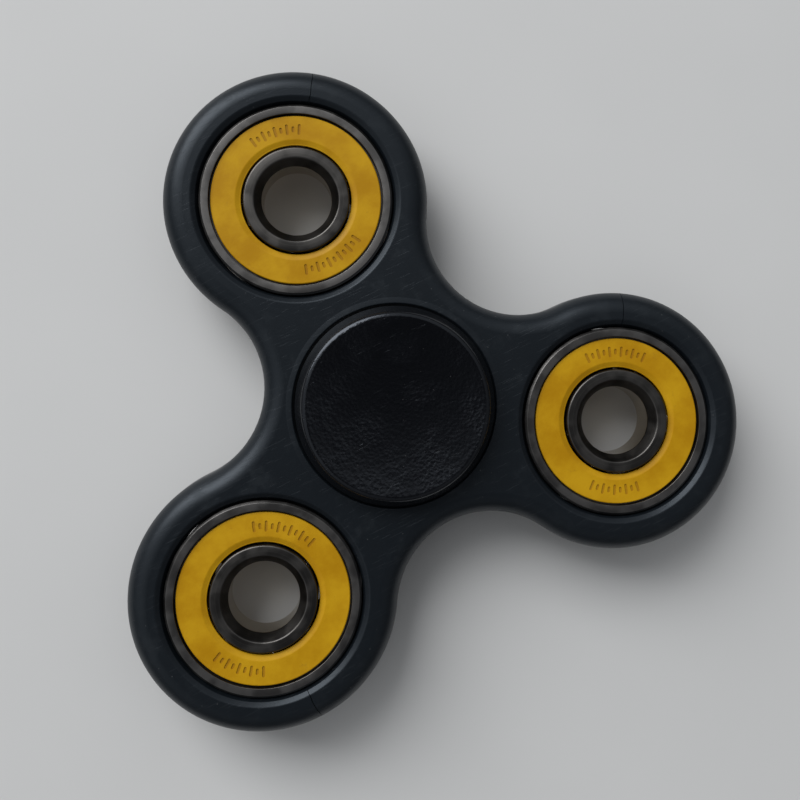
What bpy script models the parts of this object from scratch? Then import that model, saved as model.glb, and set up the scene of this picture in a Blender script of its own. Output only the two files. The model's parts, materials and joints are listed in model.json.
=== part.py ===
"""Finger spinner: a three-lobed moulded body that turns on a ball bearing between two finger caps.

Each lobe holds a bearing of the same size as a weight. The origin is on the spin axis, halfway
through the thickness, with +Z out of the top cap. Every bearing is taken down to its rings, balls,
cage and seals.
"""

import math

import bmesh
import bpy
from mathutils import Matrix, Vector

MM = 0.001

# Body: three round lobes joined by concave waists.
ARM_LENGTH = 26.2 * MM  # spin axis to the centre of a lobe
LOBE_RADIUS = 15.2 * MM
WAIST_RADIUS = 15.05 * MM  # spin axis to the narrowest point between two lobes
BODY_THICKNESS = 7.6 * MM
EDGE_ROUND = 2.4 * MM
LOBE_ANGLES = (90, 210, 330)  # degrees, counter-clockwise from +X
WAIST_ANGLE = 60  # degrees from a lobe round to the waist beside it
SPIN_AXIS = Vector((0.0, 0.0, 0.0))
WEIGHT_MOUTH_ROUND = 0.5 * MM
CENTRE_MOUTH_ROUND = 0.95 * MM

# Ball bearing, the common 8 x 22 x 7 mm size.
BORE_RADIUS = 4.0 * MM
OUTSIDE_RADIUS = 11.0 * MM
BEARING_WIDTH = 7.0 * MM
BALL_COUNT = 7
BALL_RADIUS = 1.985 * MM
PITCH_RADIUS = 7.5 * MM
RACE_RADIUS = 2.15 * MM  # cross-section of both ball grooves
INNER_SHOULDER = 6.05 * MM
OUTER_SHOULDER = 9.05 * MM
RING_CHAMFER = 0.3 * MM
BORE_CHAMFER = 0.9 * MM
SHOULDER_CHAMFER = 0.45 * MM
SEAL_SEAT_RADIUS = 9.95 * MM
SEAL_SEAT_DEPTH = 1.15 * MM

# Seals: thin rubber washers that step down to a thin lip around the inner ring.
SEAL_OUTER_RADIUS = 9.7 * MM
SEAL_INNER_RADIUS = 6.3 * MM
SEAL_TOP = 3.2 * MM  # height of the flat face over the middle plane
SEAL_BOTTOM = 2.62 * MM
SEAL_LIP_WIDTH = 0.4 * MM
SEAL_LIP_DROP = 0.25 * MM
SEAL_SLOPE_WIDTH = 0.4 * MM

# Crown cage: a ring under the balls with prongs between them.
CAGE_INNER_RADIUS = 6.5 * MM
CAGE_OUTER_RADIUS = 8.6 * MM
CAGE_BOTTOM = -2.5 * MM
CAGE_TOP = 1.0 * MM
POCKET_RADIUS = 2.2 * MM

# Finger caps: a dished disc, a boss on the inner ring's face and a stub in its bore.
CAP_RADIUS = 11.5 * MM  # at the foot of the flank
CAP_TOP = 6.6 * MM
CAP_UNDERSIDE = 4.3 * MM
CAP_LAND_RADIUS = 10.1 * MM  # outer edge of the flat ring round the dish
CAP_LAND_WIDTH = 0.4 * MM
CAP_EDGE_ROUND = 0.9 * MM
CAP_FLANK_DRAFT = 18  # degrees the flank leans in from upright
CAP_DISH_DEPTH = 0.8 * MM
CAP_BOSS_RADIUS = 5.8 * MM
CAP_STUB_RADIUS = 3.7 * MM
CAP_STUB_END = 0.35 * MM
CAP_STUB_CHAMFER = 0.3 * MM

# Solids that sit on each other keep this gap.
SEAT_GAP = 0.3 * MM

# How finely round shapes are cut.
TURN_STEPS = 28
LOBE_STEPS = 20
WAIST_STEPS = 8
GROOVE_STEPS = 4
MOUTH_STEPS = 2
DISH_STEPS = 4
CAP_EDGE_STEPS = 3
BALL_SEGMENTS = 10
BALL_RINGS = 6
POCKET_SEGMENTS = 12
EDGE_SEGMENTS = 3
WELD_DISTANCE = 0.00001
FLAT_ANGLE = math.radians(1)  # faces that meet at less than this are one flat face
EDGE_ANGLE = math.radians(60)  # only the slab's edges are sharper than this
CUTTER_OVERSHOOT = 2 * MM

COLOURS = {
    "body_plastic": ((0.012, 0.014, 0.017, 1.0), 0.45, 0.0),
    "cap_plastic": ((0.008, 0.008, 0.010, 1.0), 0.35, 0.0),
    "outer_ring_steel": ((0.16, 0.15, 0.14, 1.0), 0.32, 1.0),
    "inner_ring_steel": ((0.12, 0.11, 0.10, 1.0), 0.28, 1.0),
    "seal_rubber": ((0.46, 0.24, 0.012, 1.0), 0.42, 0.0),
    "ball_steel": ((0.60, 0.60, 0.60, 1.0), 0.10, 1.0),
    "cage_steel": ((0.35, 0.34, 0.32, 1.0), 0.35, 1.0),
}


def clear_scene():
    for existing in list(bpy.data.objects):
        bpy.data.objects.remove(existing, do_unlink=True)


def new_collection(name):
    collection = bpy.data.collections.new(name)
    bpy.context.scene.collection.children.link(collection)
    return collection


def make_material(name):
    colour, roughness, metallic = COLOURS[name]
    material = bpy.data.materials.new(name)
    material.use_nodes = True
    material.diffuse_color = colour
    shader = material.node_tree.nodes["Principled BSDF"]
    shader.inputs["Base Color"].default_value = colour
    shader.inputs["Roughness"].default_value = roughness
    shader.inputs["Metallic"].default_value = metallic
    return material


def polar(radius, degrees):
    return Vector((radius * math.cos(math.radians(degrees)), radius * math.sin(math.radians(degrees)), 0.0))


def arc(centre, radius, start, end, steps):
    """Points on a circle in a plane, from start to end degrees, both ends included."""
    turns = [math.radians(start + (end - start) * step / steps) for step in range(steps + 1)]
    return [(centre[0] + radius * math.cos(turn), centre[1] + radius * math.sin(turn)) for turn in turns]


def add_object(name, mesh, collection, material=None, parent=None, location=(0.0, 0.0, 0.0)):
    thing = bpy.data.objects.new(name, mesh)
    collection.objects.link(thing)
    thing.parent = parent
    thing.location = location
    if material is not None and not mesh.materials:
        mesh.materials.append(material)
    return thing


def profile_mesh(name, profile, closed):
    """Edges through (radius, height) points in the XZ plane, ready for a Screw modifier."""
    count = len(profile)
    edges = [(index, index + 1) for index in range(count - 1)]
    if closed:
        edges.append((count - 1, 0))
    mesh = bpy.data.meshes.new(name)
    mesh.from_pydata([(radius, 0.0, height) for radius, height in profile], edges, [])
    return mesh


def add_screw(thing):
    screw = thing.modifiers.new("Turn", "SCREW")
    screw.axis = "Z"
    screw.angle = math.tau
    screw.steps = TURN_STEPS
    screw.render_steps = TURN_STEPS
    screw.use_merge_vertices = True
    screw.merge_threshold = WELD_DISTANCE
    screw.use_smooth_shade = True


def subtract(thing, cutter):
    cut = thing.modifiers.new("Cut " + cutter.name, "BOOLEAN")
    cut.operation = "DIFFERENCE"
    cut.solver = "EXACT"
    cut.object = cutter


def hide_cutter(cutter):
    cutter.hide_render = True
    cutter.display_type = "WIRE"


def lobe_centre(angle):
    return polar(ARM_LENGTH, angle)


def body_outline():
    """Lobe arcs and the waist arcs tangent to them, as one closed loop of points."""
    step_down = LOBE_RADIUS - WAIST_RADIUS
    waist_distance = (ARM_LENGTH**2 - step_down**2) / (ARM_LENGTH + 2 * step_down)
    waist_arc_radius = waist_distance - WAIST_RADIUS
    waist_side = polar(waist_distance, WAIST_ANGLE) - Vector((ARM_LENGTH, 0.0, 0.0))
    lobe_half = math.degrees(math.atan2(waist_side.y, waist_side.x))
    waist_half = lobe_half - WAIST_ANGLE
    points = []
    for angle in LOBE_ANGLES:
        lobe = arc(lobe_centre(angle), LOBE_RADIUS, angle - lobe_half, angle + lobe_half, LOBE_STEPS)
        facing = angle + WAIST_ANGLE + 180
        waist = arc(
            polar(waist_distance, angle + WAIST_ANGLE),
            waist_arc_radius,
            facing + waist_half,
            facing - waist_half,
            WAIST_STEPS,
        )
        points += lobe + waist[1:-1]
    return points


def outline_mesh(points):
    """The outline as a flat slab of the body's thickness."""
    curve = bpy.data.curves.new("body_outline", "CURVE")
    curve.dimensions = "2D"
    curve.fill_mode = "BOTH"
    curve.extrude = BODY_THICKNESS / 2
    spline = curve.splines.new("POLY")
    spline.points.add(len(points) - 1)
    for point, (x, y) in zip(spline.points, points):
        point.co = (x, y, 0.0, 1.0)
    spline.use_cyclic_u = True
    guide = bpy.data.objects.new("body_outline", curve)
    bpy.context.scene.collection.objects.link(guide)
    bpy.context.view_layer.update()
    evaluated = guide.evaluated_get(bpy.context.evaluated_depsgraph_get())
    mesh = bpy.data.meshes.new_from_object(evaluated)
    bpy.data.objects.remove(guide, do_unlink=True)
    slab = bmesh.new()
    slab.from_mesh(mesh)
    bmesh.ops.remove_doubles(slab, verts=slab.verts, dist=WELD_DISTANCE)
    bmesh.ops.dissolve_limit(slab, angle_limit=FLAT_ANGLE, verts=slab.verts, edges=slab.edges)
    bmesh.ops.recalc_face_normals(slab, faces=slab.faces)
    slab.to_mesh(mesh)
    slab.free()
    mesh.name = "body"
    return mesh


def bore_profile(mouth_round):
    """A bearing seat right through the body, with both mouths rounded."""
    seat_radius = OUTSIDE_RADIUS + SEAT_GAP
    half = BODY_THICKNESS / 2
    beyond = half + CUTTER_OVERSHOOT
    mouth_radius = seat_radius + mouth_round
    upper = arc((mouth_radius, half - mouth_round), mouth_round, 90, 180, MOUTH_STEPS)
    lower = [(radius, -height) for radius, height in reversed(upper)]
    return [(0.0, beyond), (mouth_radius, beyond)] + upper + lower + [(mouth_radius, -beyond), (0.0, -beyond)]


def make_body(collection, cutters, material):
    body = add_object("body", outline_mesh(body_outline()), collection, material)
    bevel = body.modifiers.new("Rounded edge", "BEVEL")
    bevel.limit_method = "ANGLE"
    bevel.angle_limit = EDGE_ANGLE
    bevel.width = EDGE_ROUND
    bevel.segments = EDGE_SEGMENTS
    places = [("centre", SPIN_AXIS, CENTRE_MOUTH_ROUND)]
    for number, angle in enumerate(LOBE_ANGLES, start=1):
        places.append((f"weight_{number}", lobe_centre(angle), WEIGHT_MOUTH_ROUND))
    for name, place, mouth_round in places:
        mesh = profile_mesh(name + "_bore_cutter", bore_profile(mouth_round), closed=False)
        cutter = add_object(name + "_bore_cutter", mesh, cutters, location=place)
        add_screw(cutter)
        hide_cutter(cutter)
        subtract(body, cutter)
    return body


def outer_ring_profile():
    half = BEARING_WIDTH / 2
    seat = half - SEAL_SEAT_DEPTH
    groove_half = math.degrees(math.acos((OUTER_SHOULDER - PITCH_RADIUS) / RACE_RADIUS))
    groove = arc((PITCH_RADIUS, 0.0), RACE_RADIUS, -groove_half, groove_half, GROOVE_STEPS)
    return (
        [
            (OUTSIDE_RADIUS - RING_CHAMFER, half),
            (OUTSIDE_RADIUS, half - RING_CHAMFER),
            (OUTSIDE_RADIUS, RING_CHAMFER - half),
            (OUTSIDE_RADIUS - RING_CHAMFER, -half),
            (SEAL_SEAT_RADIUS, -half),
            (SEAL_SEAT_RADIUS, -seat),
            (OUTER_SHOULDER, -seat),
        ]
        + groove
        + [(OUTER_SHOULDER, seat), (SEAL_SEAT_RADIUS, seat), (SEAL_SEAT_RADIUS, half)]
    )


def inner_ring_profile():
    half = BEARING_WIDTH / 2
    groove_half = math.degrees(math.acos((PITCH_RADIUS - INNER_SHOULDER) / RACE_RADIUS))
    groove = arc((PITCH_RADIUS, 0.0), RACE_RADIUS, 180 - groove_half, 180 + groove_half, GROOVE_STEPS)
    return (
        [(INNER_SHOULDER - SHOULDER_CHAMFER, half), (INNER_SHOULDER, half - SHOULDER_CHAMFER)]
        + groove
        + [
            (INNER_SHOULDER, SHOULDER_CHAMFER - half),
            (INNER_SHOULDER - SHOULDER_CHAMFER, -half),
            (BORE_RADIUS + BORE_CHAMFER, -half),
            (BORE_RADIUS, BORE_CHAMFER - half),
            (BORE_RADIUS, half - BORE_CHAMFER),
            (BORE_RADIUS + BORE_CHAMFER, half),
        ]
    )


def seal_profile():
    lip_edge = SEAL_INNER_RADIUS + SEAL_LIP_WIDTH
    return [
        (SEAL_OUTER_RADIUS, SEAL_TOP),
        (SEAL_OUTER_RADIUS, SEAL_BOTTOM),
        (SEAL_INNER_RADIUS, SEAL_BOTTOM),
        (SEAL_INNER_RADIUS, SEAL_TOP - SEAL_LIP_DROP),
        (lip_edge, SEAL_TOP - SEAL_LIP_DROP),
        (lip_edge + SEAL_SLOPE_WIDTH, SEAL_TOP),
    ]


def mirrored(profile):
    """The same profile upside down, still running down its outer side."""
    return [(radius, -height) for radius, height in reversed(profile)]


def cage_profile():
    return [
        (CAGE_OUTER_RADIUS, CAGE_TOP),
        (CAGE_OUTER_RADIUS, CAGE_BOTTOM),
        (CAGE_INNER_RADIUS, CAGE_BOTTOM),
        (CAGE_INNER_RADIUS, CAGE_TOP),
    ]


def cap_profile():
    seat = BEARING_WIDTH / 2 + SEAT_GAP
    land_inner = CAP_LAND_RADIUS - CAP_LAND_WIDTH
    dish = []
    for step in range(DISH_STEPS):
        share = step / DISH_STEPS
        dish.append((land_inner * share, CAP_TOP - CAP_DISH_DEPTH * (1 - share**2)))
    edge_centre = (CAP_LAND_RADIUS, CAP_TOP - CAP_EDGE_ROUND)
    edge = arc(edge_centre, CAP_EDGE_ROUND, 90, CAP_FLANK_DRAFT, CAP_EDGE_STEPS)
    return (
        dish
        + [(land_inner, CAP_TOP)]
        + edge
        + [
            (CAP_RADIUS, CAP_UNDERSIDE),
            (CAP_BOSS_RADIUS, CAP_UNDERSIDE),
            (CAP_BOSS_RADIUS, seat),
            (CAP_STUB_RADIUS, seat),
            (CAP_STUB_RADIUS, CAP_STUB_END + CAP_STUB_CHAMFER),
            (CAP_STUB_RADIUS - CAP_STUB_CHAMFER, CAP_STUB_END),
            (0.0, CAP_STUB_END),
        ]
    )


def ball_mesh():
    mesh = bpy.data.meshes.new("bearing_ball")
    ball = bmesh.new()
    bmesh.ops.create_uvsphere(ball, u_segments=BALL_SEGMENTS, v_segments=BALL_RINGS, radius=BALL_RADIUS)
    ball.to_mesh(mesh)
    ball.free()
    mesh.shade_smooth()
    return mesh


def ball_angles():
    return [360 * index / BALL_COUNT for index in range(BALL_COUNT)]


def pocket_mesh():
    """One radial cylinder through the cage at each ball."""
    mesh = bpy.data.meshes.new("pocket_cutter")
    pockets = bmesh.new()
    for angle in ball_angles():
        turn = Matrix.Rotation(math.radians(angle), 4, "Z")
        lay = Matrix.Translation((PITCH_RADIUS, 0.0, 0.0)) @ Matrix.Rotation(math.radians(90), 4, "Y")
        bmesh.ops.create_cone(
            pockets,
            cap_ends=True,
            segments=POCKET_SEGMENTS,
            radius1=POCKET_RADIUS,
            radius2=POCKET_RADIUS,
            depth=2 * (CAGE_OUTER_RADIUS - CAGE_INNER_RADIUS),
            matrix=turn @ lay,
        )
    pockets.to_mesh(mesh)
    pockets.free()
    return mesh


def bearing_meshes():
    """The meshes that all four bearings share."""
    return {
        "outer_ring": profile_mesh("outer_ring", outer_ring_profile(), closed=True),
        "inner_ring": profile_mesh("inner_ring", inner_ring_profile(), closed=True),
        "seal_top": profile_mesh("seal_top", seal_profile(), closed=True),
        "seal_bottom": profile_mesh("seal_bottom", mirrored(seal_profile()), closed=True),
        "cage": profile_mesh("cage", cage_profile(), closed=True),
        "ball": ball_mesh(),
        "pockets": pocket_mesh(),
    }


def make_bearing(name, place, facing, meshes, materials, collection, cutters):
    """A bearing round an empty on its axis, with its first ball towards the facing angle."""
    axis = bpy.data.objects.new(name + "_axis", None)
    collection.objects.link(axis)
    axis.location = place
    axis.rotation_euler.z = math.radians(facing)
    turned = (
        ("outer_ring", "outer_ring_steel"),
        ("inner_ring", "inner_ring_steel"),
        ("seal_top", "seal_rubber"),
        ("seal_bottom", "seal_rubber"),
        ("cage", "cage_steel"),
    )
    for piece, finish in turned:
        thing = add_object(f"{name}_{piece}", meshes[piece], collection, materials[finish], parent=axis)
        add_screw(thing)
        if piece == "cage":
            cutter = add_object(f"{name}_pocket_cutter", meshes["pockets"], cutters, parent=axis)
            hide_cutter(cutter)
            subtract(thing, cutter)
    for number, angle in enumerate(ball_angles(), start=1):
        add_object(
            f"{name}_ball_{number}",
            meshes["ball"],
            collection,
            materials["ball_steel"],
            parent=axis,
            location=polar(PITCH_RADIUS, angle),
        )


def make_caps(collection, material):
    for name, profile in (("cap_top", cap_profile()), ("cap_bottom", mirrored(cap_profile()))):
        cap = add_object(name, profile_mesh(name, profile, closed=False), collection, material)
        add_screw(cap)


def main():
    clear_scene()
    collection = new_collection("fidget_spinner")
    cutters = new_collection("cutters")
    materials = {name: make_material(name) for name in COLOURS}
    make_body(collection, cutters, materials["body_plastic"])
    make_caps(collection, materials["cap_plastic"])
    meshes = bearing_meshes()
    make_bearing("centre", SPIN_AXIS, LOBE_ANGLES[0], meshes, materials, collection, cutters)
    for number, angle in enumerate(LOBE_ANGLES, start=1):
        name = f"weight_{number}"
        make_bearing(name, lobe_centre(angle), angle, meshes, materials, collection, cutters)


main()
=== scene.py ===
"""The looks of the finger spinner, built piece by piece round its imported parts.

Every visible piece is a fine mesh that stands for one CAD node, rides on that node's body and has its own
procedural material. Round pieces are turned from a path of (radius, height) corners about their own axis.
"""

import json
import math

import bmesh
import bpy
from mathutils import Matrix, Vector, noise

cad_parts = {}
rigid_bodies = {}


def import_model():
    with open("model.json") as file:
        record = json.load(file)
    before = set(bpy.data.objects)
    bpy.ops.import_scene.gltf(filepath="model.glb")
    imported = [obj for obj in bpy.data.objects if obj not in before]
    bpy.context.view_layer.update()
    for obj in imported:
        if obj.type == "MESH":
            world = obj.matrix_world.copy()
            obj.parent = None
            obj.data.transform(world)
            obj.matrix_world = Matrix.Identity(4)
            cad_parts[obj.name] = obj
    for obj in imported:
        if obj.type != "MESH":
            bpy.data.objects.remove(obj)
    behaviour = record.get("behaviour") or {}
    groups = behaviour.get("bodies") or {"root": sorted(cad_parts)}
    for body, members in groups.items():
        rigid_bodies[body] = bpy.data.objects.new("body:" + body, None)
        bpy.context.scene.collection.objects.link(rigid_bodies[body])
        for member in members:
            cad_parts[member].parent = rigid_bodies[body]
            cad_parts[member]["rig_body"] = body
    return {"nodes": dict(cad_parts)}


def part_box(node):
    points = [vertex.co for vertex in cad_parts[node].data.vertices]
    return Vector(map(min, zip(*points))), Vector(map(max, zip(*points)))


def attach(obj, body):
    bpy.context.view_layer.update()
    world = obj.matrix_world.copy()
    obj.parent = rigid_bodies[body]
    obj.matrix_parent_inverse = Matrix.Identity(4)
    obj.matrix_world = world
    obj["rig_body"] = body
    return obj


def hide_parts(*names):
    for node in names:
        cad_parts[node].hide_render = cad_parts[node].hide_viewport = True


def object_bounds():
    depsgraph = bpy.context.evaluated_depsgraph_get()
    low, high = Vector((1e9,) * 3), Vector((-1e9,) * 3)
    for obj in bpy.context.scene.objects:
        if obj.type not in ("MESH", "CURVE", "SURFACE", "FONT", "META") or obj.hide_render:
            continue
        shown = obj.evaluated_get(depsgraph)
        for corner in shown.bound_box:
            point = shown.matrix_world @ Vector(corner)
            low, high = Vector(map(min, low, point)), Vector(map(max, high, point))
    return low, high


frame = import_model()
cad_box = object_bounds()

MM = 0.001
ABOUT_X = math.pi  # the half turn that makes a bottom piece from a top one

# Body
ARM_LENGTH = 26.2 * MM
LOBE_RADIUS = 15.2 * MM
WAIST_RADIUS = 15.05 * MM
EDGE_ROUND = 2.4 * MM
SEAT_RADIUS = 11.1 * MM
# Seat mouths, as corners of (radius, depth below the face, round)
WEIGHT_MOUTH = (
    (11.9 * MM, 0.0, 0.4 * MM),
    (11.4 * MM, 0.35 * MM, 0.12 * MM),
    (SEAT_RADIUS, 1.1 * MM, 0.1 * MM),
)
CENTRE_MOUTH = (  # a low collar stands round the centre seat
    (12.42 * MM, 0.0, 0.5 * MM),
    (11.76 * MM, -0.08 * MM, 0.16 * MM),
    (11.5 * MM, 0.25 * MM, 0.12 * MM),
    (SEAT_RADIUS, 1.7 * MM, 0.1 * MM),
)
THIRD = 120  # degrees
LOBE_STEPS = 96
WAIST_STEPS = 28
EDGE_STEPS = 12
BORE_STEPS = 128
FLAT_MARGIN = 0.04 * MM  # a strip of flat face kept round every rounded edge

# Knit-line cracks: each is cut by a thin blade that stands on the line from its lobe's axis
CRACK_ANGLES = (57.2, -89.8, 61.2)  # degrees, each about the axis of its lobe
CRACK_WIDTH = 0.13 * MM
CRACK_TOP_SHARE = 0.5  # the blade's half width above the face, as a share of the width
CRACK_FOOT_SHARE = 0.15  # and at its foot
CRACK_DEPTH = 0.7 * MM
CRACK_RISE = 1 * MM  # how far the blade stands above the face
CRACK_INSIDE = 0.3 * MM  # how far it starts inside the seat's wall
CRACK_OUTSIDE = 0.4 * MM  # how far it ends outside the lobe
CRACK_WAVER = 0.12 * MM
CRACK_WAVER_SIZE = 0.9 * MM
CRACK_NOISE_STEP = 7.3  # how far apart the three cracks are read from the noise
CRACK_NOISE_HEIGHT = 0.5
CRACK_STEPS = 14

# Bearings
BORE_RADIUS = 4.0 * MM
OUTSIDE_RADIUS = 11.0 * MM
PITCH_RADIUS = 7.5 * MM
RACE_RADIUS = 2.05 * MM
INNER_SHOULDER = 6.05 * MM
OUTER_SHOULDER = 9.05 * MM
RING_CHAMFER = 0.25 * MM
RING_EDGE_ROUND = 0.05 * MM
INNER_SHOULDER_ROUND = 0.24 * MM
BORE_CHAMFER_WIDTH = 0.85 * MM
BORE_CHAMFER_DEPTH = 1.3 * MM
BORE_CHAMFER_TOP_ROUND = 0.25 * MM
BORE_CHAMFER_FOOT_ROUND = 0.4 * MM
BORE_MARGIN = 0.02 * MM  # how far outside the bore's radius its bright finish and painted warm reflected light reach
GROOVE_STEPS = 12
SEAL_SEAT_RADIUS = 9.93 * MM
SEAL_SEAT_DEPTH = 1.1 * MM
SEAL_OUTER_RADIUS = 9.72 * MM
SEAL_INNER_RADIUS = 6.3 * MM
SEAL_TOP = 3.2 * MM
SEAL_BOTTOM = 2.65 * MM
SEAL_LIP_TOP = 3.0 * MM
SEAL_LIP_RADIUS = 6.44 * MM
SEAL_SLOPE_RADIUS = 6.95 * MM
SEAL_TOP_ROUND = 0.16 * MM
SEAL_FOOT_ROUND = 0.05 * MM
SEAL_INNER_ROUND = 0.1 * MM
SEAL_LIP_ROUND = 0.12 * MM
SEAL_SLOPE_ROUND = 0.5 * MM
BALL_RADIUS = 1.98 * MM
BALL_STEPS_ROUND = 40
BALL_STEPS_DOWN = 24
CAGE_INNER_RADIUS = 6.55 * MM
CAGE_OUTER_RADIUS = 8.55 * MM
CAGE_BOTTOM = -2.45 * MM
CAGE_TOP = 0.95 * MM
CAGE_TOP_ROUND = 0.15 * MM
CAGE_BOTTOM_ROUND = 0.2 * MM
POCKET_RADIUS = 2.12 * MM
POCKET_STEPS = 48
BALL_COUNT = 7

# Tick marks pressed into the seals
MARK_RADIUS = 8.12 * MM
MARK_DEPTH = 0.09 * MM
MARK_WIDTH = 0.3 * MM
MARK_LONG = 1.25 * MM
MARK_SHORT = 0.7 * MM
MARK_PITCH = 9.8  # degrees
MARK_END_STEPS = 5
MARK_FLARE = 1.2  # how much wider a mark's cutter is at its top than at its foot
MARK_RISE = 0.2 * MM  # how far the cutter stands above the seal
# The marks' floors below this height get painted shade, a deeper amber, in their recesses
MARK_SHADE_TOP = SEAL_TOP - 0.02 * MM
MARK_SHADE_RADII = (SEAL_SLOPE_RADIUS + 0.1 * MM, SEAL_OUTER_RADIUS - 0.3 * MM)  # the seal's flat ring, where the marks' painted shade is laid
MARK_GROUPS = {  # (middle of the group in degrees, number of marks)
    "centre": ((90, 5), (270, 6)),
    "weight_1": ((82, 5), (277, 6)),
    "weight_2": ((48, 6), (225, 5)),
    "weight_3": ((65, 6), (242, 5)),
}

# Caps
CAP_RADIUS = 11.5 * MM
CAP_TOP = 6.6 * MM
CAP_UNDERSIDE = 4.3 * MM
CAP_SHOULDER_RADIUS = 10.55 * MM
CAP_EDGE_ROUND = 0.6 * MM
CAP_LAND_RADIUS = 10.1 * MM
CAP_DISH_DEPTH = 0.8 * MM
CAP_BOSS_RADIUS = 5.8 * MM
CAP_STUB_RADIUS = 3.7 * MM
CAP_STUB_END = 0.35 * MM
CAP_SEAT = 3.6 * MM
CAP_FOOT_ROUND = 0.2 * MM
CAP_SEAT_ROUND = 0.1 * MM
CAP_STUB_ROUND = 0.25 * MM
DISH_STEPS = 60
DISH_FLOOR = CAP_TOP - 1.01 * CAP_DISH_DEPTH  # just below the lowest point of the dish
GRAIN_EDGE = (10.05 * MM, 10.35 * MM)  # radii at which the material's grain starts and ends its fade
GRAIN_HEIGHT = 0.010 * MM
GRAIN_SIZE = 1.3 * MM
GRAIN_FADE = 0.2 * MM
GRAIN_FRACTAL = (0.8, 2.0, 3)  # the exponent, the gap between octaves and their number

TURN_STEPS = 160
CAP_TURN_STEPS = 256
FILLET_STEPS = 5
CAP_FILLET_STEPS = 12
WELD_DISTANCE = 1e-7
SHARP_ANGLE = math.radians(40)

# The Mix node's colour sockets: its two inputs and its result
MIX_INPUTS = (6, 7)
MIX_RESULT = 2
SCRATCH_EDGE = 0.06  # how far above the limit the noise makes a full scratch
SPECK_CORE = 0.03  # where a speck of dust is full, as a share of its cell

# Camera: close above the spinner, nearly straight down
CAMERA_PLACE = Vector((-3.61, 7.18, 121.83)) * MM
CAMERA_AIM = Vector((11.16, 5.7, 0.0)) * MM
CAMERA_UP = Vector((0.43, 0.9019, 0.0412))
CAMERA_LENS = 46.25
CAMERA_SHIFT = (-0.0717, -0.1)
CAMERA_CLIP = (0.01, 10.0)

FLOOR_HALF = 8.0  # metres

# Light: directions on the floor are taken from the picture's own up and right
PICTURE_UP = Vector((0.4198, 0.9076, 0.0))
PICTURE_RIGHT = Vector((0.9076, -0.4198, 0.0))
WINDOW_PLACE = PICTURE_UP * 0.85 - PICTURE_RIGHT * 0.7 + Vector((0.0, 0.0, 0.85))
WINDOW_SIZE = (1.2, 0.8)  # metres
WINDOW_POWER = 19.0  # watts
WINDOW_SIDE = PICTURE_UP * 0.75 - PICTURE_RIGHT * 0.66
SIDE_REACH = (-0.5, 0.5)  # where, along that direction, the room starts and stops getting brighter
SIDE_GAIN = (0.35, 1.35)  # how bright the room is on the far side and on the window's side
LOW_COLOUR = (0.06, 0.06, 0.063)
ROOM_COLOUR = (0.535, 0.545, 0.555)
ROOM_RISE = (0.2, 0.6)  # the height, as a share of a unit sphere's, over which the room brightens
VIEWER_COLOUR = (0.03, 0.03, 0.035)
VIEWER_LEAN = 0.16
VIEWER_EDGE = (0.915, 0.965)  # cosines of the angles from its middle where the dark starts and is full
BACKDROP_COLOUR = (0.62, 0.63, 0.64)


# ---------------------------------------------------------------- paths and meshes


def polar(radius, degrees, height=0.0):
    turn = math.radians(degrees)
    return Vector((radius * math.cos(turn), radius * math.sin(turn), height))


def arc(centre, radius, start, end, steps):
    """(radius, height) points on a circle, from start to end degrees, both ends included."""
    turns = [math.radians(start + (end - start) * step / steps) for step in range(steps + 1)]
    return [(centre[0] + radius * math.cos(turn), centre[1] + radius * math.sin(turn)) for turn in turns]


def rounded(corners, closed=True, steps=FILLET_STEPS):
    """A path through (radius, height, round) corners, with each corner that has a round made an arc."""
    path = []
    for index, (radius, height, fillet) in enumerate(corners):
        here = Vector((radius, height))
        if fillet == 0:
            path.append(tuple(here))
            continue
        before = (Vector(corners[index - 1][:2]) - here).normalized()
        after = (Vector(corners[(index + 1) % len(corners)][:2]) - here).normalized()
        half = before.angle(after) / 2
        centre = here + (before + after).normalized() * (fillet / math.sin(half))
        start = here + before * (fillet / math.tan(half)) - centre
        end = here + after * (fillet / math.tan(half)) - centre
        for step in range(steps + 1):
            path.append(tuple(centre + start.slerp(end, step / steps).normalized() * fillet))
    return path + path[:1] if closed else path


def turned(name, path, steps=TURN_STEPS):
    """The path turned about Z into a closed mesh."""
    shape = bmesh.new()
    points = [shape.verts.new((radius, 0.0, height)) for radius, height in path]
    edges = [shape.edges.new(pair) for pair in zip(points, points[1:])]
    bmesh.ops.spin(
        shape,
        geom=points + edges,
        cent=(0.0, 0.0, 0.0),
        axis=(0.0, 0.0, 1.0),
        angle=math.tau,
        steps=steps,
        use_merge=True,
    )
    bmesh.ops.remove_doubles(shape, verts=shape.verts, dist=WELD_DISTANCE)
    bmesh.ops.recalc_face_normals(shape, faces=shape.faces)
    return mesh_from(shape, name)


def mesh_from(shape, name):
    mesh = bpy.data.meshes.new(name)
    shape.to_mesh(mesh)
    shape.free()
    mesh.shade_smooth()
    mesh.set_sharp_from_angle(angle=SHARP_ANGLE)
    return mesh


def skin(shape, loops):
    """Quads between closed loops of vertices that lie next to each other."""
    for first, second in zip(loops, loops[1:]):
        for index in range(len(first)):
            shape.faces.new((first[index - 1], first[index], second[index], second[index - 1]))


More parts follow.
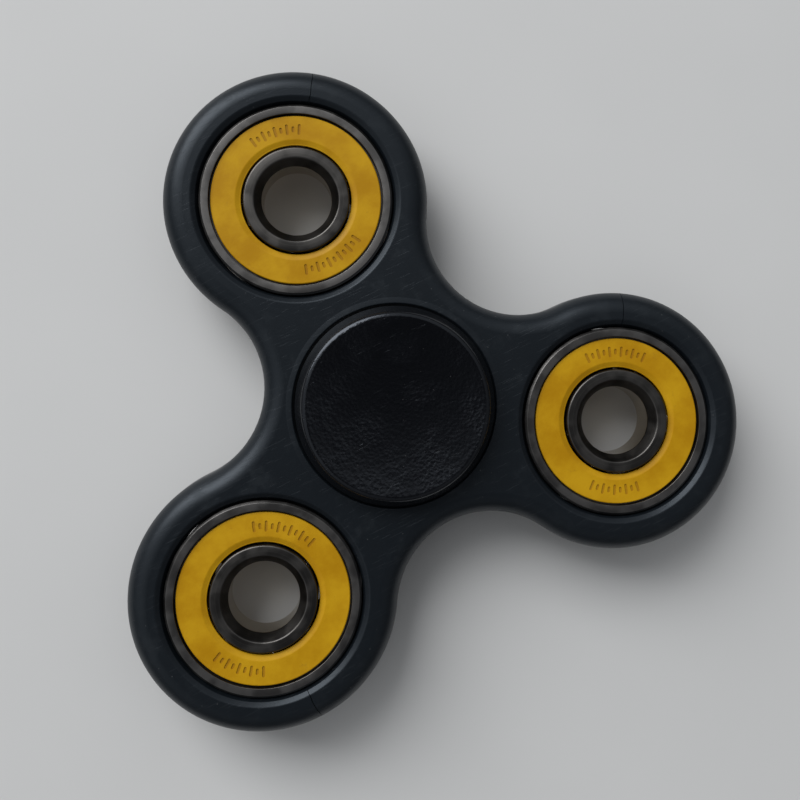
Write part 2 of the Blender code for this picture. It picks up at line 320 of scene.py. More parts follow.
def cut_out(mesh, cutter_mesh):
    """The mesh with the cutter's mesh taken out of it."""
    target = bpy.data.objects.new("target", mesh)
    cutter = bpy.data.objects.new("cutter", cutter_mesh)
    for thing in (target, cutter):
        bpy.context.scene.collection.objects.link(thing)
    cut = target.modifiers.new("Cut", "BOOLEAN")
    cut.operation = "DIFFERENCE"
    cut.solver = "EXACT"
    cut.object = cutter
    bpy.context.view_layer.update()
    evaluated = target.evaluated_get(bpy.context.evaluated_depsgraph_get())
    result = bpy.data.meshes.new_from_object(evaluated)
    bpy.data.objects.remove(target, do_unlink=True)
    bpy.data.objects.remove(cutter, do_unlink=True)
    bpy.data.meshes.remove(cutter_mesh)
    result.name = mesh.name
    result.shade_smooth()
    result.set_sharp_from_angle(angle=SHARP_ANGLE)
    return result


def prism(shape, lower, upper):
    """A closed prism between two loops of places with the same number of corners."""
    low = [shape.verts.new(place) for place in lower]
    high = [shape.verts.new(place) for place in upper]
    skin(shape, [low, high])
    shape.faces.new(list(reversed(low)))
    shape.faces.new(high)


# ---------------------------------------------------------------- putting pieces in place


def axis_of(node):
    """The point on the middle plane below the middle of a round CAD node."""
    low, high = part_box(node)
    middle = (low + high) / 2
    return Vector((middle.x, middle.y, 0.0))


def place_piece(node, mesh, material, location, flip=False, facing=0.0):
    """Puts a piece in place of its CAD node, on the same body."""
    piece = bpy.data.objects.new(node + "_fine", mesh)
    bpy.context.scene.collection.objects.link(piece)
    piece.location = location
    piece.rotation_euler = (ABOUT_X if flip else 0.0, 0.0, facing)
    if not mesh.materials:
        mesh.materials.append(material)
    weighted = piece.modifiers.new("Flat faces shade flat", "WEIGHTED_NORMAL")
    weighted.keep_sharp = True
    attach(piece, frame["nodes"][node]["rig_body"])
    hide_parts(node)
    return piece


# ---------------------------------------------------------------- material nodes


def new_material(name, colour, roughness, metallic=0.0):
    material = bpy.data.materials.new(name)
    material.use_nodes = True
    shader = material.node_tree.nodes["Principled BSDF"]
    shader.inputs["Base Color"].default_value = (*colour, 1.0)
    shader.inputs["Roughness"].default_value = roughness
    shader.inputs["Metallic"].default_value = metallic
    return material, material.node_tree, shader


def add_node(tree, kind, inputs=None, **settings):
    """A node with its settings, and with each input set to a value or linked to a socket."""
    made = tree.nodes.new(kind)
    for setting, value in settings.items():
        setattr(made, setting, value)
    for socket, value in (inputs or {}).items():
        if isinstance(value, bpy.types.NodeSocket):
            tree.links.new(value, made.inputs[socket])
        else:
            made.inputs[socket].default_value = value
    return made


def calculate(tree, operation, first, second):
    return add_node(tree, "ShaderNodeMath", {0: first, 1: second}, operation=operation).outputs[0]


def object_place(tree, vary=0.0):
    """Coordinates in metres from the piece's own axis, shifted by a random step for each piece."""
    place = add_node(tree, "ShaderNodeTexCoord").outputs["Object"]
    if vary == 0.0:
        return place
    chance = add_node(tree, "ShaderNodeObjectInfo").outputs["Random"]
    shift = calculate(tree, "MULTIPLY", chance, vary)
    return add_node(tree, "ShaderNodeVectorMath", {0: place, 1: shift}, operation="ADD").outputs[0]


def axis_distance(tree, place):
    flat = add_node(tree, "ShaderNodeVectorMath", {0: place, 1: (1.0, 1.0, 0.0)}, operation="MULTIPLY")
    return add_node(tree, "ShaderNodeVectorMath", {0: flat.outputs[0]}, operation="LENGTH").outputs["Value"]


def height_of(tree, place):
    return add_node(tree, "ShaderNodeSeparateXYZ", {0: place}).outputs["Z"]


def mottle(tree, place, size, detail=3.0, rough=0.55):
    """Noise from 0 to 1 with blotches of about that size in metres."""
    made = add_node(tree, "ShaderNodeTexNoise", {"Vector": place, "Scale": 1.0 / size, "Detail": detail})
    made.inputs["Roughness"].default_value = rough
    return made.outputs["Fac"]


def spread(tree, value, low, high, to_low=0.0, to_high=1.0):
    """The value stretched from low..high to to_low..to_high, with smooth ends."""
    made = add_node(tree, "ShaderNodeMapRange", {"Value": value}, interpolation_type="SMOOTHSTEP")
    for socket, number in (("From Min", low), ("From Max", high), ("To Min", to_low), ("To Max", to_high)):
        made.inputs[socket].default_value = number
    return made.outputs["Result"]


def colour_mix(tree, share, first, second):
    """Two colours, or colour sockets, mixed by a share from 0 to 1."""
    made = add_node(tree, "ShaderNodeMix", {"Factor": share}, data_type="RGBA")
    for index, colour in zip(MIX_INPUTS, (first, second)):
        if isinstance(colour, bpy.types.NodeSocket):
            tree.links.new(colour, made.inputs[index])
        else:
            made.inputs[index].default_value = (*colour, 1.0)
    return made.outputs[MIX_RESULT]


def laid_over(tree, base, mask, strength, colour):
    """The base with a colour laid over it where the mask is 1, at a strength from 0 to 1."""
    return colour_mix(tree, calculate(tree, "MULTIPLY", mask, strength), base, colour)


def scratches(tree, place, turn, width, length, keep):
    """Thin straight lines: noise stretched along one direction, with only its peaks kept."""
    mapped = add_node(
        tree,
        "ShaderNodeMapping",
        {
            "Vector": place,
            "Rotation": (0.0, 0.0, math.radians(turn)),
            "Scale": (1 / length, 1 / width, 1 / length),
        },
    )
    lines = add_node(tree, "ShaderNodeTexNoise", {"Vector": mapped.outputs[0], "Scale": 1.0, "Detail": 2.0})
    return spread(tree, lines.outputs["Fac"], keep, keep + SCRATCH_EDGE)


def dust_specks(tree, place, cell, edge):
    """Round specks, one in each cell of about that size in metres; the edge is a share of the cell."""
    cells = add_node(tree, "ShaderNodeTexVoronoi", {"Vector": place, "Scale": 1 / cell})
    return spread(tree, cells.outputs["Distance"], SPECK_CORE, edge, 1.0, 0.0)


def turning_marks(tree, place, size):
    """Fine circles round the axis, as a lathe or a grinding wheel leaves them."""
    across = calculate(tree, "DIVIDE", axis_distance(tree, place), size)
    along = calculate(tree, "DIVIDE", height_of(tree, place), size)
    rings = add_node(tree, "ShaderNodeCombineXYZ", {"X": across, "Z": along})
    made = add_node(tree, "ShaderNodeTexNoise", {"Vector": rings.outputs[0], "Scale": 1.0, "Detail": 4.0})
    return made.outputs["Fac"]


def set_surface(tree, shader, base, roughness, height, distance):
    """Links a colour, a roughness and a bump of that many metres to the shader."""
    tree.links.new(base, shader.inputs["Base Color"])
    tree.links.new(roughness, shader.inputs["Roughness"])
    bump = add_node(tree, "ShaderNodeBump", {"Height": height, "Distance": distance, "Strength": 1.0})
    tree.links.new(bump.outputs["Normal"], shader.inputs["Normal"])


# ---------------------------------------------------------------- materials


def body_plastic():
    """Satin black moulded plastic with a blue cast, partly its own colour and partly painted light colour in
    its reflections, flow marks, rubbed patches and a few specks of dust.
    """
    material, tree, shader = new_material("body_satin_plastic", (0.012, 0.014, 0.017), 0.45)
    place = object_place(tree)
    flow = mottle(tree, place, 9 * MM, detail=4.0, rough=0.6)
    rubbed = spread(tree, mottle(tree, place, 3.2 * MM, detail=5.0, rough=0.68), 0.5, 0.72)
    lines = scratches(tree, place, turn=25, width=0.09 * MM, length=4.5 * MM, keep=0.66)
    cross_lines = scratches(tree, place, turn=-50, width=0.08 * MM, length=3.5 * MM, keep=0.68)
    scuff = calculate(tree, "MAXIMUM", lines, cross_lines)
    dust = dust_specks(tree, place, cell=1.5 * MM, edge=0.055)
    base = colour_mix(tree, flow, (0.0036, 0.0054, 0.0076), (0.0060, 0.0080, 0.0104))
    base = laid_over(tree, base, rubbed, 0.35, (0.014, 0.017, 0.020))
    base = laid_over(tree, base, scuff, 0.4, (0.030, 0.034, 0.038))
    base = laid_over(tree, base, dust, 0.3, (0.15, 0.15, 0.15))
    roughness = spread(tree, rubbed, 0.0, 1.0, to_low=0.38, to_high=0.46)
    shader.inputs["Specular IOR Level"].default_value = 0.33
    # painted light colour: the blue specular tint gives the reflections the cool cast of the daylight
    shader.inputs["Specular Tint"].default_value = (0.79, 0.89, 1.0, 1.0)
    grain = mottle(tree, place, 0.22 * MM, detail=3.0, rough=0.6)
    surface = calculate(tree, "ADD", calculate(tree, "MULTIPLY", flow, 3.0), grain)
    surface = calculate(tree, "SUBTRACT", surface, calculate(tree, "MULTIPLY", scuff, 0.6))
    set_surface(tree, shader, base, roughness, surface, 0.008 * MM)
    return material


def cap_plastic():
    """Black moulded plastic: a grained dish inside a smooth, glossier rim, with fine scratches and dust."""
    material, tree, shader = new_material("cap_black_plastic", (0.008, 0.008, 0.010), 0.35)
    place = object_place(tree)
    dish = spread(tree, axis_distance(tree, place), *GRAIN_EDGE, to_low=1.0, to_high=0.0)
    pebbles = add_node(
        tree,
        "ShaderNodeTexVoronoi",
        {"Vector": place, "Scale": 1 / (0.4 * MM), "Smoothness": 0.5},
        feature="SMOOTH_F1",
    )
    fine_grain = mottle(tree, place, 0.3 * MM, detail=2.0, rough=0.5)
    grain = calculate(tree, "ADD", pebbles.outputs["Distance"], fine_grain)
    wear = mottle(tree, place, 4.5 * MM, detail=2.0, rough=0.5)
    polish = spread(tree, wear, 0.4, 0.62, to_low=0.45, to_high=1.0)
    lines = scratches(tree, place, turn=6, width=0.07 * MM, length=3.5 * MM, keep=0.69)
    cross_lines = scratches(tree, place, turn=-22, width=0.06 * MM, length=2.8 * MM, keep=0.70)
    scratched = spread(tree, mottle(tree, place, 6 * MM, detail=1.0), 0.5, 0.6)
    lines = calculate(tree, "MULTIPLY", calculate(tree, "MAXIMUM", lines, cross_lines), scratched)
    dust = dust_specks(tree, place, cell=1.1 * MM, edge=0.06)
    base = colour_mix(tree, polish, (0.0012, 0.0013, 0.0018), (0.0022, 0.0024, 0.0032))
    base = laid_over(tree, base, lines, 0.25, (0.035, 0.035, 0.035))
    base = laid_over(tree, base, dust, 0.25, (0.15, 0.15, 0.15))
    roughness = spread(tree, dish, 0.0, 1.0, to_low=0.23, to_high=0.24)
    shader.inputs["Specular IOR Level"].default_value = 0.43
    # painted light colour: the blue specular tint gives the reflections the cool cast of the daylight
    shader.inputs["Specular Tint"].default_value = (0.80, 0.88, 1.0, 1.0)
    surface = calculate(tree, "MULTIPLY", calculate(tree, "MULTIPLY", grain, polish), dish)
    surface = calculate(tree, "SUBTRACT", surface, calculate(tree, "MULTIPLY", lines, 0.5))
    set_surface(tree, shader, base, roughness, surface, 0.032 * MM)
    return material


def ring_steel(name, dark, light):
    """Dark ground bearing steel with fine circles from grinding, faint clouds and a bright ground bore,
    tinted warm with painted reflected light from the pale floor.
    """
    material, tree, shader = new_material(name, light, 0.32, 1.0)
    place = object_place(tree)
    circles = turning_marks(tree, place, 0.06 * MM)
    clouds = mottle(tree, object_place(tree, vary=1.0), 2.5 * MM, detail=3.0, rough=0.5)
    clouds = spread(tree, clouds, 0.35, 0.65)
    bore = calculate(tree, "LESS_THAN", axis_distance(tree, place), BORE_RADIUS + BORE_MARGIN)
    bright = tuple(1.6 * part for part in light)
    base = colour_mix(tree, clouds, dark, light)
    base = colour_mix(tree, spread(tree, circles, 0.4, 0.75, to_low=0.0, to_high=0.3), base, bright)
    # the bore's brightness is its ground finish; its warm tint is painted reflected light from the floor
    base = colour_mix(tree, bore, base, (0.50, 0.44, 0.35))
    roughness = spread(tree, clouds, 0.0, 1.0, to_low=0.34, to_high=0.42)
    roughness = calculate(tree, "SUBTRACT", roughness, calculate(tree, "MULTIPLY", bore, 0.24))
    set_surface(tree, shader, base, roughness, circles, 0.002 * MM)
    return material


def seal_rubber():
    """Yellow moulded rubber with painted shade, a deeper amber, in the pressed marks, and faint brown
    stains.
    """
    material, tree, shader = new_material("seal_yellow_rubber", (0.51, 0.285, 0.014), 0.42)
    place = object_place(tree)
    shifted = object_place(tree, vary=1.0)
    cloud = mottle(tree, shifted, 5.0 * MM, detail=4.0, rough=0.6)
    stain = spread(tree, mottle(tree, shifted, 1.3 * MM, detail=5.0, rough=0.7), 0.6, 0.78)
    low = spread(tree, height_of(tree, place), SEAL_TOP - MARK_DEPTH, MARK_SHADE_TOP, to_low=1.0, to_high=0.0)
    on_flat = calculate(tree, "GREATER_THAN", axis_distance(tree, place), MARK_SHADE_RADII[0])
    inside_edge = calculate(tree, "LESS_THAN", axis_distance(tree, place), MARK_SHADE_RADII[1])
    painted_mark_shade = calculate(tree, "MULTIPLY", low, calculate(tree, "MULTIPLY", on_flat, inside_edge))
    base = colour_mix(tree, spread(tree, cloud, 0.3, 0.7), (0.42, 0.208, 0.001), (0.545, 0.305, 0.004))
    base = laid_over(tree, base, stain, 0.45, (0.25, 0.12, 0.012))
    # painted shade: the floors of the pressed marks are darkened to a deeper amber
    base = laid_over(tree, base, painted_mark_shade, 0.5, (0.24, 0.105, 0.008))
    roughness = spread(tree, cloud, 0.3, 0.7, to_low=0.42, to_high=0.54)
    shader.inputs["Specular IOR Level"].default_value = 0.2
    surface = mottle(tree, place, 0.35 * MM, detail=4.0, rough=0.6)
    set_surface(tree, shader, base, roughness, surface, 0.012 * MM)
    return material


def ball_steel():
    """Polished balls with a thin film of grease."""
    material, tree, shader = new_material("ball_polished_steel", (0.6, 0.6, 0.6), 0.1, 1.0)
    film = mottle(tree, object_place(tree, vary=1.0), 1.2 * MM)
    base = colour_mix(tree, film, (0.52, 0.51, 0.50), (0.68, 0.68, 0.68))
    roughness = spread(tree, film, 0.3, 0.7, to_low=0.06, to_high=0.2)
    set_surface(tree, shader, base, roughness, film, 0.001 * MM)
    return material


def cage_steel():
    """Dull pressed steel with a drawn grain round the ring."""
    material, tree, shader = new_material("cage_pressed_steel", (0.35, 0.34, 0.32), 0.35, 1.0)
    place = object_place(tree)
    grain = turning_marks(tree, place, 0.12 * MM)
    base = colour_mix(tree, grain, (0.26, 0.25, 0.23), (0.42, 0.41, 0.39))
    roughness = spread(tree, grain, 0.3, 0.7, to_low=0.3, to_high=0.45)
    set_surface(tree, shader, base, roughness, grain, 0.005 * MM)
    return material


# ---------------------------------------------------------------- body


def lobe_centres():
    return [axis_of(f"weight_{number}_outer_ring") for number in (1, 2, 3)]


def outline(inset):
    """The body's outline moved inwards: lobe arcs shrink and the waist arcs between them grow."""
    step_down = LOBE_RADIUS - WAIST_RADIUS
    waist_distance = (ARM_LENGTH**2 - step_down**2) / (ARM_LENGTH + 2 * step_down)
    waist_arc_radius = waist_distance - WAIST_RADIUS
    waist_side = polar(waist_distance, THIRD / 2) - Vector((ARM_LENGTH, 0.0, 0.0))
    lobe_half = math.degrees(math.atan2(waist_side.y, waist_side.x))
    waist_half = lobe_half - THIRD / 2
    points = []
    for centre in lobe_centres():
        angle = math.degrees(math.atan2(centre.y, centre.x))
        points += arc(centre, LOBE_RADIUS - inset, angle - lobe_half, angle + lobe_half, LOBE_STEPS)
        waist_centre = polar(waist_distance, angle + THIRD / 2)
        facing = angle + THIRD / 2 + 180
        start, end = facing + waist_half, facing - waist_half
        points += arc(waist_centre, waist_arc_radius + inset, start, end, WAIST_STEPS)[1:-1]
    return points


def outside_loops(shape, half):
    """Loops of vertices down the outside of the body, from the flat of the top to the flat of the bottom."""
    steps = [(EDGE_ROUND + FLAT_MARGIN, half)]
    for step in range(EDGE_STEPS, -1, -1):
        turn = math.pi / 2 * step / EDGE_STEPS
        steps.append((EDGE_ROUND * (1 - math.cos(turn)), half - EDGE_ROUND * (1 - math.sin(turn))))
    steps += [(inset, -height) for inset, height in reversed(steps)]
    return [[shape.verts.new((x, y, height)) for x, y in outline(inset)] for inset, height in steps]


def bore_loops(shape, centre, mouth, half):
    """Loops of vertices through a bearing seat, from the flat of the top to the flat of the bottom."""
    (rim_radius, _, rim_round), (next_radius, next_depth, _) = mouth[:2]
    slope = math.atan2(abs(next_depth), rim_radius - next_radius)
    lead_in = (rim_radius + rim_round * math.tan(slope / 2) + FLAT_MARGIN, half, 0)
    corners = [(radius, half - depth, fillet) for radius, depth, fillet in mouth]
    upper = rounded([lead_in, *corners, (SEAT_RADIUS, 0.0, 0)], closed=False)
    path = upper + [(radius, -height) for radius, height in reversed(upper[:-1])]
    turns = [360 * step / BORE_STEPS for step in range(BORE_STEPS)]
    return [
        [shape.verts.new(centre + polar(radius, turn, height)) for turn in turns] for radius, height in path
    ]


def crack_mesh(half):
    """One thin wavering blade for each crack, following the face and then the rounded edge down."""
    shape = bmesh.new()
    flat_end = LOBE_RADIUS - EDGE_ROUND
    first_radius = SEAT_RADIUS - CRACK_INSIDE
    last_radius = LOBE_RADIUS + CRACK_OUTSIDE
    for number, (centre, angle) in enumerate(zip(lobe_centres(), CRACK_ANGLES)):
        side = polar(1.0, angle + 90)
        low_left, low_right, high_left, high_right = [], [], [], []
        for step in range(CRACK_STEPS + 1):
            radius = first_radius + (last_radius - first_radius) * step / CRACK_STEPS
            noise_place = Vector((radius / CRACK_WAVER_SIZE, CRACK_NOISE_STEP * number, CRACK_NOISE_HEIGHT))
            waver = noise.noise(noise_place) * CRACK_WAVER
            past_flat = min(max(radius - flat_end, 0.0), EDGE_ROUND)
            surface = half - EDGE_ROUND + math.sqrt(EDGE_ROUND**2 - past_flat**2)
            middle = centre + polar(radius, angle) + side * waver
            low = Vector((0.0, 0.0, surface - CRACK_DEPTH))
            high = Vector((0.0, 0.0, half + CRACK_RISE))
            low_left.append(middle - side * CRACK_WIDTH * CRACK_FOOT_SHARE + low)
            low_right.append(middle + side * CRACK_WIDTH * CRACK_FOOT_SHARE + low)
            high_left.append(middle - side * CRACK_WIDTH * CRACK_TOP_SHARE + high)
            high_right.append(middle + side * CRACK_WIDTH * CRACK_TOP_SHARE + high)
        rows = [
            [shape.verts.new(places[step]) for places in (low_left, low_right, high_right, high_left)]
            for step in range(CRACK_STEPS + 1)
        ]
        skin(shape, rows)
        shape.faces.new(rows[0])
        shape.faces.new(list(reversed(rows[-1])))
    bmesh.ops.triangulate(shape, faces=shape.faces)
    bmesh.ops.recalc_face_normals(shape, faces=shape.faces)
    return mesh_from(shape, "cracks")


def make_body():
    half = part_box("body")[1].z
    shape = bmesh.new()
    groups = [outside_loops(shape, half), bore_loops(shape, Vector(), CENTRE_MOUTH, half)]
    for centre in lobe_centres():
        groups.append(bore_loops(shape, centre, WEIGHT_MOUTH, half))
    for loops in groups:
        skin(shape, loops)
    for end, facing in ((0, 1.0), (-1, -1.0)):
        rims = {vertex for loops in groups for vertex in loops[end]}
        edges = [edge for edge in shape.edges if edge.is_boundary and rims.issuperset(edge.verts)]
        bmesh.ops.triangle_fill(shape, use_beauty=True, edges=edges, normal=(0.0, 0.0, facing))
    bmesh.ops.recalc_face_normals(shape, faces=shape.faces)
    mesh = cut_out(mesh_from(shape, "body_moulding"), crack_mesh(half))
    place_piece("body", mesh, body_plastic(), Vector())


# ---------------------------------------------------------------- caps


def cap_path():
    """The top cap from the middle of its dish out over the rim, then underneath to the end of its stub."""
    dish = []
    for step in range(DISH_STEPS):
        share = step / DISH_STEPS
        dish.append((CAP_LAND_RADIUS * share, CAP_TOP - CAP_DISH_DEPTH * (1 - share**2), 0))
    return rounded(
        dish
        + [
            (CAP_LAND_RADIUS, CAP_TOP, 0),
            (CAP_SHOULDER_RADIUS, CAP_TOP, CAP_EDGE_ROUND),
            (CAP_RADIUS, CAP_UNDERSIDE, CAP_FOOT_ROUND),
            (CAP_BOSS_RADIUS, CAP_UNDERSIDE, CAP_FOOT_ROUND),
            (CAP_BOSS_RADIUS, CAP_SEAT, CAP_SEAT_ROUND),
            (CAP_STUB_RADIUS, CAP_SEAT, CAP_SEAT_ROUND),
            (CAP_STUB_RADIUS, CAP_STUB_END, CAP_STUB_ROUND),
            (0.0, CAP_STUB_END, 0),
        ],
        closed=False,
        steps=CAP_FILLET_STEPS,
    )


def grain_the_dish(mesh):
    """Fine uneven grain on the dish, none on the rim."""
    for vertex in mesh.vertices:
        radius = vertex.co.to_2d().length
        if vertex.co.z < DISH_FLOOR or radius >= CAP_LAND_RADIUS:
            continue
        fade = min(1.0, (CAP_LAND_RADIUS - radius) / GRAIN_FADE)
        bumps = noise.fractal(vertex.co / GRAIN_SIZE, *GRAIN_FRACTAL)
        vertex.co.z += GRAIN_HEIGHT * fade * min(0.0, bumps)


def make_caps():
    mesh = turned("finger_cap", cap_path(), CAP_TURN_STEPS)
    grain_the_dish(mesh)
    material = cap_plastic()
    place_piece("cap_top", mesh, material, Vector())
    place_piece("cap_bottom", mesh, material, Vector(), flip=True)


# ---------------------------------------------------------------- bearings


def outer_ring_mesh(half):
    seat = half - SEAL_SEAT_DEPTH
    groove_half = math.degrees(math.acos((OUTER_SHOULDER - PITCH_RADIUS) / RACE_RADIUS))
    groove = arc((PITCH_RADIUS, 0.0), RACE_RADIUS, -groove_half, groove_half, GROOVE_STEPS)
    corners = [
        (OUTSIDE_RADIUS - RING_CHAMFER, half, RING_EDGE_ROUND),
        (OUTSIDE_RADIUS, half - RING_CHAMFER, RING_EDGE_ROUND),
        (OUTSIDE_RADIUS, RING_CHAMFER - half, RING_EDGE_ROUND),
        (OUTSIDE_RADIUS - RING_CHAMFER, -half, RING_EDGE_ROUND),
        (SEAL_SEAT_RADIUS, -half, RING_EDGE_ROUND),
        (SEAL_SEAT_RADIUS, -seat, 0),
        (OUTER_SHOULDER, -seat, RING_EDGE_ROUND),
        *[(radius, height, 0) for radius, height in groove],
        (OUTER_SHOULDER, seat, RING_EDGE_ROUND),
        (SEAL_SEAT_RADIUS, seat, 0),
        (SEAL_SEAT_RADIUS, half, RING_EDGE_ROUND),
    ]
    return turned("outer_ring", rounded(corners))


def inner_ring_mesh(half):
    groove_half = math.degrees(math.acos((PITCH_RADIUS - INNER_SHOULDER) / RACE_RADIUS))
    groove = arc((PITCH_RADIUS, 0.0), RACE_RADIUS, 180 - groove_half, 180 + groove_half, GROOVE_STEPS)
    chamfer_radius = BORE_RADIUS + BORE_CHAMFER_WIDTH
    chamfer_height = half - BORE_CHAMFER_DEPTH
    corners = [
        (INNER_SHOULDER, half, INNER_SHOULDER_ROUND),
        *[(radius, height, 0) for radius, height in groove],
        (INNER_SHOULDER, -half, INNER_SHOULDER_ROUND),
        (chamfer_radius, -half, BORE_CHAMFER_TOP_ROUND),
        (BORE_RADIUS, -chamfer_height, BORE_CHAMFER_FOOT_ROUND),
        (BORE_RADIUS, chamfer_height, BORE_CHAMFER_FOOT_ROUND),
        (chamfer_radius, half, BORE_CHAMFER_TOP_ROUND),
    ]
    return turned("inner_ring", rounded(corners))


def stadium(middle, direction, length, width, height):
    """Places round a slot with round ends, at one height."""
    side = Vector((-direction.y, direction.x, 0.0))
    places = []
    for end, facing in ((1, -90), (-1, 90)):
        hub = middle + direction * end * (length - width) / 2
        for step in range(MARK_END_STEPS + 1):
            turn = math.radians(facing + 180 * step / MARK_END_STEPS)
            reach = direction * math.cos(turn) + side * math.sin(turn)
            places.append(hub + reach * width / 2 + Vector((0.0, 0.0, height)))
    return places


def marks_mesh(groups):
    """Slots for plain tick marks: a long one at each step of a group and a short one between."""
    shape = bmesh.new()
    for middle, count in groups:
        for step in range(2 * count - 1):
            direction = polar(1.0, middle + MARK_PITCH * (step / 2 - (count - 1) / 2))
            length = MARK_SHORT if step % 2 else MARK_LONG
            place = direction * MARK_RADIUS
            low = stadium(place, direction, length, MARK_WIDTH, SEAL_TOP - MARK_DEPTH)
            high = stadium(place, direction, length, MARK_WIDTH * MARK_FLARE, SEAL_TOP + MARK_RISE)
            prism(shape, low, high)
    bmesh.ops.recalc_face_normals(shape, faces=shape.faces)
    return mesh_from(shape, "marks")


def seal_mesh(groups):
    corners = [
        (SEAL_OUTER_RADIUS, SEAL_TOP, SEAL_TOP_ROUND),
        (SEAL_OUTER_RADIUS, SEAL_BOTTOM, SEAL_FOOT_ROUND),
        (SEAL_INNER_RADIUS, SEAL_BOTTOM, SEAL_FOOT_ROUND),
        (SEAL_INNER_RADIUS, SEAL_LIP_TOP, SEAL_INNER_ROUND),
        (SEAL_LIP_RADIUS, SEAL_LIP_TOP, SEAL_LIP_ROUND),
        (SEAL_SLOPE_RADIUS, SEAL_TOP, SEAL_SLOPE_ROUND),
    ]
    return cut_out(turned("seal", rounded(corners)), marks_mesh(groups))


def cage_mesh():
    """A crown: a ring with a round pocket cut through it for each ball."""
    corners = [
        (CAGE_OUTER_RADIUS, CAGE_TOP, CAGE_TOP_ROUND),
        (CAGE_OUTER_RADIUS, CAGE_BOTTOM, CAGE_BOTTOM_ROUND),
        (CAGE_INNER_RADIUS, CAGE_BOTTOM, CAGE_BOTTOM_ROUND),
        (CAGE_INNER_RADIUS, CAGE_TOP, CAGE_TOP_ROUND),
    ]
    pockets = bmesh.new()
    for index in range(BALL_COUNT):
        turn = Matrix.Rotation(math.tau * index / BALL_COUNT, 4, "Z")
        lay = Matrix.Translation((PITCH_RADIUS, 0.0, 0.0)) @ Matrix.Rotation(math.pi / 2, 4, "Y")
        bmesh.ops.create_cone(
            pockets,
            cap_ends=True,
            segments=POCKET_STEPS,
            radius1=POCKET_RADIUS,
            radius2=POCKET_RADIUS,
            depth=2 * (CAGE_OUTER_RADIUS - CAGE_INNER_RADIUS),
            matrix=turn @ lay,
        )
    return cut_out(turned("cage", rounded(corners)), mesh_from(pockets, "pockets"))


def ball_mesh():
    shape = bmesh.new()
    bmesh.ops.create_uvsphere(
        shape, u_segments=BALL_STEPS_ROUND, v_segments=BALL_STEPS_DOWN, radius=BALL_RADIUS
    )
    return mesh_from(shape, "bearing_ball")


def make_bearings():
    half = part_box("weight_1_outer_ring")[1].z
    outer = outer_ring_mesh(half)
    inner = inner_ring_mesh(half)
    cage = cage_mesh()
    ball = ball_mesh()
    outer_steel = ring_steel("outer_ring_ground_steel", (0.10, 0.097, 0.095), (0.14, 0.136, 0.133))
    inner_steel = ring_steel("inner_ring_ground_steel", (0.056, 0.054, 0.052), (0.092, 0.088, 0.084))
    rubber = seal_rubber()
    cage_finish = cage_steel()
    ball_finish = ball_steel()
    for bearing, groups in MARK_GROUPS.items():
        axis = axis_of(bearing + "_outer_ring")
        first_ball = axis_of(bearing + "_ball_1") - axis
        facing = math.atan2(first_ball.y, first_ball.x)
        seal = seal_mesh(groups)
        place_piece(bearing + "_outer_ring", outer, outer_steel, axis)
        place_piece(bearing + "_inner_ring", inner, inner_steel, axis)
        place_piece(bearing + "_seal_top", seal, rubber, axis)
        place_piece(bearing + "_seal_bottom", seal, rubber, axis, flip=True)
        place_piece(bearing + "_cage", cage, cage_finish, axis, facing=facing)
        for number in range(1, BALL_COUNT + 1):
            node = f"{bearing}_ball_{number}"
            place_piece(node, ball, ball_finish, axis_of(node))


# ---------------------------------------------------------------- floor, light and camera


def make_floor():
    shape = bmesh.new()
    bmesh.ops.create_grid(shape, x_segments=1, y_segments=1, size=FLOOR_HALF)
    floor = bpy.data.objects.new("floor", mesh_from(shape, "floor"))
    bpy.context.scene.collection.objects.link(floor)
    floor.location.z = cad_box[0].z
    material, tree, shader = new_material("pale_floor", (0.66, 0.67, 0.67), 0.75)
    place = object_place(tree)
    tone = mottle(tree, place, 30 * MM, detail=3.0, rough=0.5)
    base = colour_mix(tree, tone, (0.59, 0.595, 0.595), (0.635, 0.64, 0.64))
    tree.links.new(base, shader.inputs["Base Color"])
    floor.data.materials.append(material)


def aim(thing, target, up):
    """Points an object's -Z at the target, with its Y towards up."""
    back = (thing.location - target).normalized()
    right = up.cross(back).normalized()
    thing.rotation_euler = Matrix((right, back.cross(right), back)).transposed().to_euler()


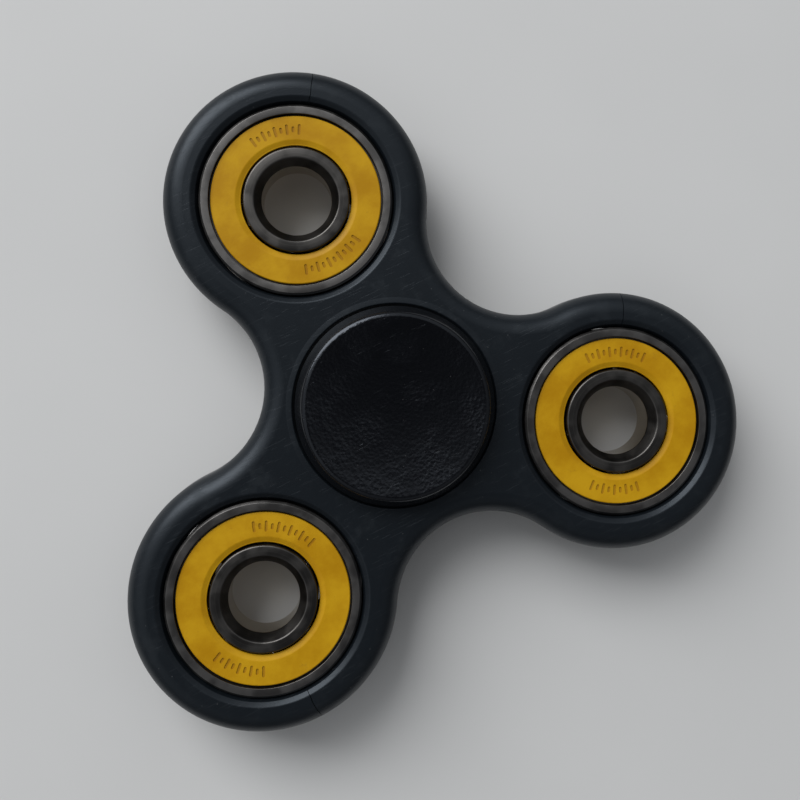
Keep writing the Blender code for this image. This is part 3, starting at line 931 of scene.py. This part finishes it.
def make_window():
    """One soft light from the upper left of the picture, as from a window."""
    light = bpy.data.lights.new("window", "AREA")
    light.shape = "RECTANGLE"
    light.size, light.size_y = WINDOW_SIZE
    light.energy = WINDOW_POWER
    window = bpy.data.objects.new("window", light)
    bpy.context.scene.collection.objects.link(window)
    window.location = WINDOW_PLACE
    aim(window, Vector(), PICTURE_UP)


def make_world():
    """A grey room: dim low down, bright higher up, and dark overhead where the viewer stands."""
    world = bpy.data.worlds.new("grey_room")
    bpy.context.scene.world = world
    world.use_nodes = True
    tree = world.node_tree
    direction = add_node(tree, "ShaderNodeTexCoord").outputs["Generated"]
    viewer = (Vector((0.0, 0.0, 1.0)) - VIEWER_LEAN * PICTURE_UP).normalized()
    overhead = add_node(tree, "ShaderNodeVectorMath", {0: direction, 1: viewer}, operation="DOT_PRODUCT")
    sideways = add_node(
        tree, "ShaderNodeVectorMath", {0: direction, 1: WINDOW_SIDE}, operation="DOT_PRODUCT"
    )
    high = spread(tree, height_of(tree, direction), *ROOM_RISE)
    window_side = spread(tree, sideways.outputs["Value"], *SIDE_REACH, *SIDE_GAIN)
    shadow = spread(tree, overhead.outputs["Value"], *VIEWER_EDGE)
    room = colour_mix(tree, calculate(tree, "MULTIPLY", high, window_side), LOW_COLOUR, ROOM_COLOUR)
    lit = colour_mix(tree, shadow, room, VIEWER_COLOUR)
    seen = add_node(tree, "ShaderNodeLightPath").outputs["Is Camera Ray"]
    tree.links.new(colour_mix(tree, seen, lit, BACKDROP_COLOUR), tree.nodes["Background"].inputs["Color"])


def make_camera():
    lens = bpy.data.cameras.new("camera")
    lens.lens = CAMERA_LENS
    lens.shift_x, lens.shift_y = CAMERA_SHIFT
    lens.clip_start, lens.clip_end = CAMERA_CLIP
    camera = bpy.data.objects.new("camera", lens)
    bpy.context.scene.collection.objects.link(camera)
    camera.location = CAMERA_PLACE
    aim(camera, CAMERA_AIM, CAMERA_UP)
    bpy.context.scene.camera = camera


make_body()
make_caps()
make_bearings()
make_floor()
make_world()
make_window()
make_camera()
bpy.context.scene.view_settings.view_transform = "Standard"
